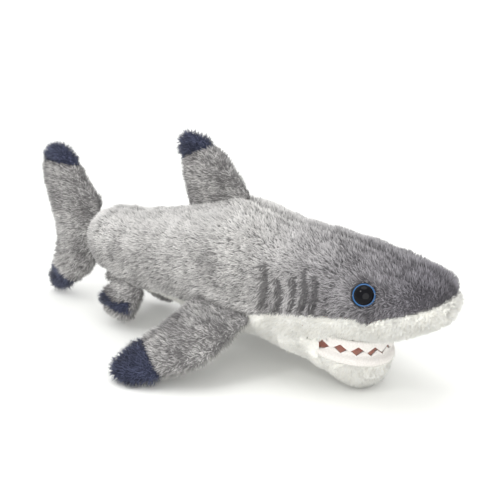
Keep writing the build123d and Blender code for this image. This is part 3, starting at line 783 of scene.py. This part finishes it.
def throat_cover():
    """White cloth that spans the throat and the mouth's corners, from the belly to the jaw."""
    search = tree(*gather(["belly_panel", "muzzle_panel", "chin_panel"]))
    hinge = joint_place("jaw_open")
    columns = np.linspace(hinge[0] - COVER_BEHIND, hinge[0] + COVER_AHEAD, 18)
    turns = np.radians(np.linspace(-COVER_TURN, COVER_TURN, 71))
    reach = np.zeros((len(columns), len(turns)))
    for i, x in enumerate(columns):
        for k, turn in enumerate(turns):
            way = np.array([0, math.sin(turn), -math.cos(turn)])
            start = np.array([x, 0, hinge[2]]) + way * COVER_START
            hit = search.ray_cast(Vector(start), Vector(-way), 65 * MM)
            reach[i, k] = COVER_START - hit[3] if hit[0] is not None else 0
        whole = (reach[i] > LEAST_REACH) | (np.abs(turns) < 0.8)
        reach[i] = np.interp(turns, turns[whole], reach[i][whole])
    for _ in range(4):
        reach[:, 1:-1] = (reach[:, :-2] + 2 * reach[:, 1:-1] + reach[:, 2:]) / 4
        reach[1:-1] = (reach[:-2] + 2 * reach[1:-1] + reach[2:]) / 4
    tuck = ramp(np.abs(turns), 1.5, 0.35) ** 2      # the rim turns in under the lip
    reach += 0.3 * MM - 4 * MM * tuck
    reach[-3:] -= np.array([0.4, 1.3, 2.8])[:, None] * MM
    grid = np.zeros((*reach.shape, 3))
    grid[:, :, 0] = columns[:, None]
    grid[:, :, 1] = reach * np.sin(turns)
    grid[:, :, 2] = np.maximum(hinge[2] - reach * np.cos(turns), FLOOR)
    index = np.arange(reach.size).reshape(reach.shape)
    quads = np.stack([index[:-1, :-1], index[:-1, 1:], index[1:, 1:], index[1:, :-1]], 2).reshape(-1, 4)
    verts = grid.reshape(-1, 3)
    height = np.tile(1.9 * MM * (1 - 0.4 * tuck), len(columns))
    skin = {"verts": verts - vertex_normals(verts, quads) * CLOTH, "quads": quads, "height": height,
            "away": np.zeros((len(verts), 1)), "names": ["cover"], "outer": verts, "panels": ["cover"],
            "inside": []}
    piece = pile_piece("throat_cover", skin, "cover", None, WHITE_LOOK, back_nap, seed=25)
    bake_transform(piece)


throat_cover()


# ---------- fins ----------

def middle(name):
    """Middle of a frame node's box."""
    low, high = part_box(name)
    return np.array((low + high) / 2)


def fin_nap(outward):
    """Pile that lies along a fin towards its tip and swept back."""
    way = unit(np.array(outward, float)) + np.array([-0.45, 0, 0])
    return lambda points: np.tile(way, (len(points), 1))


TAIL_MIDDLE = 0.067     # z of the tail's middle
WEB_START, WEB_Z = -0.156, 0.091        # x behind which the web is not moved, and its height


def tail_nap(points):
    """Pile that lies back and away from the middle of the tail."""
    rise = np.clip((points[:, 2] - TAIL_MIDDLE) / 0.03, -1, 1)
    return np.stack([-np.ones(len(points)), np.zeros(len(points)), rise], 1)


TIP_EDGE = 0.8 * MM     # navy pile reaches this far over a grey panel
LOWER_EDGE = 9 * MM     # and this far at the tail's lower end
GREY_FRONT = 9 * MM     # the front of a pelvic fin's end stays grey over this length

dorsal = make_skin(["dorsal_panel_right", "dorsal_panel_left", "dorsal_tip"], ["dorsal_stuffing"], TORSO)
nap = fin_nap(middle("dorsal_tip") - joint_place("dorsal_flop"))
for number, side in enumerate(SIDES):
    pile_piece("dorsal_" + side, dorsal, "dorsal_panel_" + side, "dorsal_fin", FIN_LOOK, nap,
               seed=30 + number, dye=near_panel(dorsal, "dorsal_tip", TIP_EDGE))
pile_piece("dorsal_end", dorsal, "dorsal_tip", "dorsal_fin", NAVY_LOOK, nap, seed=32)

tail_panels = ["tail_panel_right", "tail_panel_left", "tail_upper_tip", "tail_lower_tip"]
tail = make_skin(tail_panels, ["tail_stuffing"], TORSO)
# The web between the lobes stands further forward than the frame's.
web = ramp(tail["outer"][:, 0], WEB_START, 0.018) * hump(tail["outer"][:, 2] - WEB_Z, 0.013)
for key in ("verts", "outer"):
    tail[key] = tail[key] + web[:, None] * np.array([7.5, 0, 1.5]) * MM
for number, side in enumerate(SIDES):
    pile_piece("tail_" + side, tail, "tail_panel_" + side, "tail_fin", FIN_LOOK, tail_nap,
               seed=40 + number, dye=near_panel(tail, "tail_lower_tip", LOWER_EDGE))
pile_piece("tail_upper_end", tail, "tail_upper_tip", "tail_fin", NAVY_LOOK, tail_nap, seed=42)
pile_piece("tail_lower_end", tail, "tail_lower_tip", "tail_fin", NAVY_LOOK, tail_nap, seed=43)

anal = make_skin(["anal_fin_panel_right", "anal_fin_panel_left"], [], TORSO)
nap = fin_nap((-0.3, 0, -1))
for number, side in enumerate(SIDES):
    pile_piece("anal_fin_" + side, anal, "anal_fin_panel_" + side, "anal_fin", GREY_LOOK, nap,
               seed=50 + number)

for number, side in enumerate(SIDES):
    body = "pectoral_fin_" + side
    upper, lower, end = ("pectoral_" + part + side for part in ("upper_panel_", "lower_panel_", "tip_"))
    skin = make_skin([upper, lower, end], ["pectoral_stuffing_" + side], TORSO)
    nap = fin_nap(middle(end) - joint_place("pectoral_" + side + "_flap"))
    edge = near_panel(skin, end, 1 * MM)
    pile_piece("pectoral_upper_" + side, skin, upper, body, FIN_LOOK, nap, seed=60 + number, dye=edge)
    pile_piece("pectoral_lower_" + side, skin, lower, body, PALE_LOOK, nap, seed=62 + number, dye=edge)
    pile_piece("pectoral_end_" + side, skin, end, body, NAVY_LOOK, nap, seed=64 + number)

    body = "pelvic_fin_" + side
    outer, inner, end = ("pelvic_" + part + side for part in ("outer_panel_", "inner_panel_", "tip_"))
    skin = make_skin([outer, inner, end], ["pelvic_stuffing_" + side], TORSO)
    nap = fin_nap((-0.2, 0, -1))
    pile_piece("pelvic_outer_" + side, skin, outer, body, FIN_LOOK, nap, seed=70 + number)
    pile_piece("pelvic_inner_" + side, skin, inner, body, FIN_LOOK, nap, seed=72 + number)
    pile_piece("pelvic_band_" + side, skin, end, body, NAVY_LOOK, nap, seed=74 + number,
               dye=ahead_of(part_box(end)[1].x - GREY_FRONT))


# ---------- flat cloth, felt and eyes ----------

MOUTH_X = 0.112         # x of the mouth's widest place, where its round front starts
TOOTH_STEP = math.radians(18)
TEETH = 9
STEPS = 8               # points along the row for each tooth
SPARE = 6               # points of plain felt beyond the last tooth
FELT_HALF = 0.65 * MM   # half the felt's thickness
LINING_VOXEL = 0.8 * MM
LINING_WAVE = 0.15 * MM
LINING_WIDTH = 0.96     # of the frame's, so that it stays inside the pile
PUFF_EDGE = 0.86        # share of the way to the rim at which the puff ends
PUFF_SLOPE = 0.14       # and over which it rises


def lining_piece(name, source, body, puff=0.0):
    """A lining with soft edges and a slightly uneven face, puffed up or down inside its rim."""
    out, quads = remeshed([source], LINING_VOXEL)
    out = smoothed(out, quads, 2)
    normals = vertex_normals(out, quads)
    out = out + normals * (LINING_WAVE * waves(out, 4 * MM, 5))[:, None]
    half, front = out[:, 1].max(), out[:, 0].max() - MOUTH_X
    rim = np.hypot(out[:, 1] / half, np.maximum(out[:, 0] - MOUTH_X, 0) / front)
    out[:, 2] += puff * ramp(rim, PUFF_EDGE, -PUFF_SLOPE)
    out[:, 1] *= LINING_WIDTH
    add_piece(name, new_mesh(name, out, quads), PINK, body, [source])


lining_piece("mouth_roof", "palate_lining", "root", -2.6 * MM)
lining_piece("throat", "throat_lining", "root")
lining_piece("mouth_floor", "mouth_floor_lining", "jaw", 2.6 * MM)


def lip_height(name):
    """The top of a lining's edge as a straight line in x, from its front to the mouth's corners."""
    verts, _ = node_arrays(name)
    front = verts[:, 0].max()
    low = verts[verts[:, 0] > front - 1.5 * MM][:, 2].max()
    high = verts[np.abs(verts[:, 0] - MOUTH_X) < 8 * MM][:, 2].max()
    return lambda x: low + (front - x) / (front - MOUTH_X) * (high - low)


def tooth_band(name, source, body, rows, lip, wave_row, direction):
    """A felt band of teeth around the mouth. rows are length, half width and height above the lip, from
    the band's root to the points. The teeth start at the wave row and point up or down."""
    number = np.arange(-SPARE, TEETH * STEPS + SPARE + 1)
    turns = (number - TEETH * STEPS / 2) * TOOTH_STEP / STEPS
    share = 1 - np.abs((number / STEPS) % 1 * 2 - 1)
    share[(number < 0) | (number > TEETH * STEPS)] = 0
    fade = np.clip((SPARE - np.maximum(-number, number - TEETH * STEPS)) / SPARE, 0, 1)
    grid = []
    for length, half_width, height in rows:
        x = MOUTH_X + length * np.cos(turns)
        grid.append(np.stack([x, half_width * np.sin(turns), lip(x) + height * fade], 1))
    valley, peak = grid[wave_row], grid[-1]
    for row in range(wave_row + 1, len(rows)):
        part = (row - wave_row) / (len(rows) - 1 - wave_row)
        grid[row] = valley + (peak - valley) * (part * share)[:, None]
    sheet = np.array(grid)
    along = np.gradient(sheet, axis=1)
    down = np.gradient(sheet, axis=0)
    down[wave_row:] = np.array([0, 0, direction]) * MM
    normals = unit(np.cross(along, down)) * (1 if direction < 0 else -1)
    outward = sheet - np.array([MOUTH_X - 0.02, 0, 0])
    flip = np.sign((normals * outward * [1, 1, 0]).sum(2))
    normals *= np.where(flip == 0, 1, flip)[:, :, None]
    faces = [sheet + normals * FELT_HALF, sheet - normals * FELT_HALF]
    verts = np.concatenate([face.reshape(-1, 3) for face in faces])
    total = len(verts) // 2
    index = np.arange(total).reshape(sheet.shape[:2])
    outer = np.stack([index[:-1, :-1], index[:-1, 1:], index[1:, 1:], index[1:, :-1]], 2).reshape(-1, 4)
    inner = outer[:, ::-1] + total
    edges = []
    for line in (index[0], index[-1][::-1], index[:, 0][::-1], index[:, -1]):
        edges.append(np.stack([line[:-1], line[:-1] + total, line[1:] + total, line[1:]], 1))
    mesh = new_mesh(name, verts, np.vstack([outer, inner, *edges]))
    add_piece(name, mesh, FELT, body, [source])


def felt_row(length, width, inward, height):
    """A row of a tooth band this far inward of a length and a half width, in millimetres."""
    return length - inward * MM, width - inward * MM, height * MM


teeth_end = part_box("upper_teeth")[1]
LENGTH, WIDTH = teeth_end.x - MOUTH_X + 0.3 * MM, teeth_end.y + 0.3 * MM
upper_rows = [felt_row(LENGTH, WIDTH, -0.4, 1.4), felt_row(LENGTH, WIDTH, 0.1, -0.6),
              felt_row(LENGTH, WIDTH, 0.4, -3.2)]
upper_rows += [felt_row(LENGTH, WIDTH, 0.6, -7.7)] * 4
tooth_band("teeth_upper", "upper_teeth", "root", upper_rows, lip_height("palate_lining"), 2, -1)

chin_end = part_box("chin_panel")[1]
REACH, SPAN = chin_end.x - MOUTH_X, chin_end.y
lower_rows = [(REACH - 4.0 * MM, SPAN - 1.8 * MM, -4.0 * MM), (REACH - 3.2 * MM, SPAN - 1.2 * MM, -2.8 * MM),
              (REACH - 3.2 * MM, SPAN - 1.2 * MM, -1.0 * MM), (REACH - 3.8 * MM, SPAN - 1.6 * MM, 0.3 * MM),
              (REACH - 4.6 * MM, SPAN - 2.2 * MM, 1.0 * MM), felt_row(LENGTH, WIDTH, 4.6, 2.6)]
lower_rows += [felt_row(LENGTH, WIDTH, 4.6, 7.0)] * 4
tooth_band("teeth_lower", "lower_teeth", "jaw", lower_rows, lip_height("mouth_floor_lining"), 5, 1)


ROUND = 64              # points around an eye


def lathe(name, side, profile, material, replaced):
    """A round part of an eye from its profile of radius and height over the ring's face."""
    centre, way = EYES[side]
    across = unit(np.cross(way, [0, 0, 1.0]))
    up = np.cross(across, way)
    turns = np.linspace(0, 2 * math.pi, ROUND, endpoint=False)
    circle = np.cos(turns)[:, None] * across + np.sin(turns)[:, None] * up
    verts = np.vstack([centre + circle * radius * MM + way * height * MM for radius, height in profile])
    index = np.arange(len(verts)).reshape(len(profile), ROUND)
    turned = np.roll(index, -1, axis=1)
    quads = np.stack([index[:-1], turned[:-1], turned[1:], index[1:]], 2).reshape(-1, 4)
    add_piece(name, new_mesh(name, verts, quads), material, "root", replaced)


# Radius and height, in millimetres, from the outside or the edge inwards.
RIM = [(9.0, -2.6), (9.1, -1.2), (9.05, -0.4), (8.8, 0.15), (8.4, 0.35), (8.0, 0.3), (7.75, 0.0), (7.7, -0.5)]
RING = [(7.9, -0.4), (7.8, 0.1), (7.6, 0.45), (7.3, 0.7), (6.9, 0.85), (6.4, 0.85)]
DOME = [(6.85 * math.cos(math.radians(a)), 0.7 + 4.0 * math.sin(math.radians(a))) for a in range(-6, 90, 6)]
DOME.append((0.02, 4.7))
for side in SIDES:
    lathe("eye_rim_" + side, side, RIM, BLACK, ["eye_base_" + side, "eye_washer_" + side])
    lathe("eye_ring_" + side, side, RING, BLUE, ["eye_iris_" + side])
    lathe("eye_dome_" + side, side, DOME, LENS, ["eye_lens_" + side])


THREAD_SIDES = 6
THREAD_RADIUS = 0.35 * MM
THREAD_DEPTH = 2.6 * MM         # the thread lies this far below the skin


def gill_thread(side):
    """The thread at the bottom of each pleat, laid along the skin."""
    sign = -1 if side == "right" else 1
    search = tree(torso["verts"], torso["quads"])
    verts, quads = [], []
    for x, low, high in GILLS:
        line = []
        for share in np.linspace(0.04, 0.96, 24):
            z = low + share * (high - low)
            hit = search.ray_cast(Vector((pleat_x(x, share), sign * 0.1, z)), Vector((0, -sign, 0)), 0.1)
            line.append(np.array(hit[0]) - np.array(hit[1]) * THREAD_DEPTH)
        line = np.array(line)
        along = unit(np.gradient(line, axis=0))
        first = unit(np.cross(along, [1.0, 0, 0]))
        second = np.cross(along, first)
        start = sum(len(v) for v in verts)
        for turn in range(THREAD_SIDES):
            angle = turn * 2 * math.pi / THREAD_SIDES
            verts.append(line + (first * math.cos(angle) + second * math.sin(angle)) * THREAD_RADIUS)
        index = start + np.arange(THREAD_SIDES * len(line)).reshape(THREAD_SIDES, len(line))
        turned = np.roll(index, -1, axis=0)
        sides = np.stack([index[:, :-1], index[:, 1:], turned[:, 1:], turned[:, :-1]], 2)
        quads.append(sides.reshape(-1, 4))
    name = "gill_sewing_" + side
    mesh = new_mesh(name, np.vstack(verts), np.vstack(quads))
    add_piece(name, mesh, THREAD, "root", ["gill_threads_" + side])


for side in SIDES:
    gill_thread(side)
closing_seam = frame["nodes"]["closing_seam_thread"].data
for face in closing_seam.polygons:
    face.material_index = 0
closing_seam.materials.clear()
closing_seam.materials.append(THREAD)


# ---------- floor, light and camera ----------

FLOOR_HALF = 9.0
CAMERA_AZIMUTH, CAMERA_ELEVATION = 35.689, 18.456      # degrees
CAMERA_TARGET = Vector((-0.06165, 0.12876, 0.02996))
CAMERA_DISTANCE = 0.8627
LENS_LENGTH, SENSOR_WIDTH = 65.0, 36.0                  # millimetres


def add_floor():
    """A wide pale floor at the shark's ground."""
    corners = np.array([[-1, -1, 0], [1, -1, 0], [1, 1, 0], [-1, 1, 0]]) * FLOOR_HALF
    mesh = new_mesh("floor", corners, np.array([[0, 1, 2, 3]]))
    floor = add_object("floor", mesh)
    material, _, shader = new_material("floor", 0.7)
    shader.inputs["Base Color"].default_value = (0.93, 0.935, 0.91, 1)
    mesh.materials.append(material)


def add_sun(name, direction, strength, spread):
    """A sun from this direction. The spread, in degrees, softens its shadows."""
    light = bpy.data.lights.new(name, "SUN")
    light.energy = strength
    light.angle = math.radians(spread)
    item = bpy.data.objects.new(name, light)
    item.rotation_euler = Vector(direction).to_track_quat("Z", "Y").to_euler()
    bpy.context.scene.collection.objects.link(item)


def add_world(strength):
    """Even white light from all around."""
    world = bpy.data.worlds.new("studio")
    world.use_nodes = True
    world.node_tree.nodes["Background"].inputs[0].default_value = (1, 1, 1, 1)
    world.node_tree.nodes["Background"].inputs[1].default_value = strength
    bpy.context.scene.world = world


def add_camera():
    """The camera at its direction and distance from the target."""
    azimuth, elevation = math.radians(CAMERA_AZIMUTH), math.radians(CAMERA_ELEVATION)
    back = Vector((math.sin(azimuth) * math.cos(elevation), -math.cos(azimuth) * math.cos(elevation),
                   math.sin(elevation)))
    data = bpy.data.cameras.new("camera")
    data.lens, data.sensor_width = LENS_LENGTH, SENSOR_WIDTH
    camera = bpy.data.objects.new("camera", data)
    camera.location = CAMERA_TARGET + back * CAMERA_DISTANCE
    camera.rotation_euler = back.to_track_quat("Z", "Y").to_euler()
    bpy.context.scene.collection.objects.link(camera)
    bpy.context.scene.camera = camera


add_floor()
add_world(1.0)
add_sun("key", (-0.15, -0.05, 1.0), 0.8, 40)
add_sun("fill", (0.50, -0.80, 0.30), 1.2, 50)
add_sun("spot", (-0.35, -0.75, 0.85), 0.3, 9)
add_camera()
bpy.context.scene.view_settings.view_transform = "Standard"
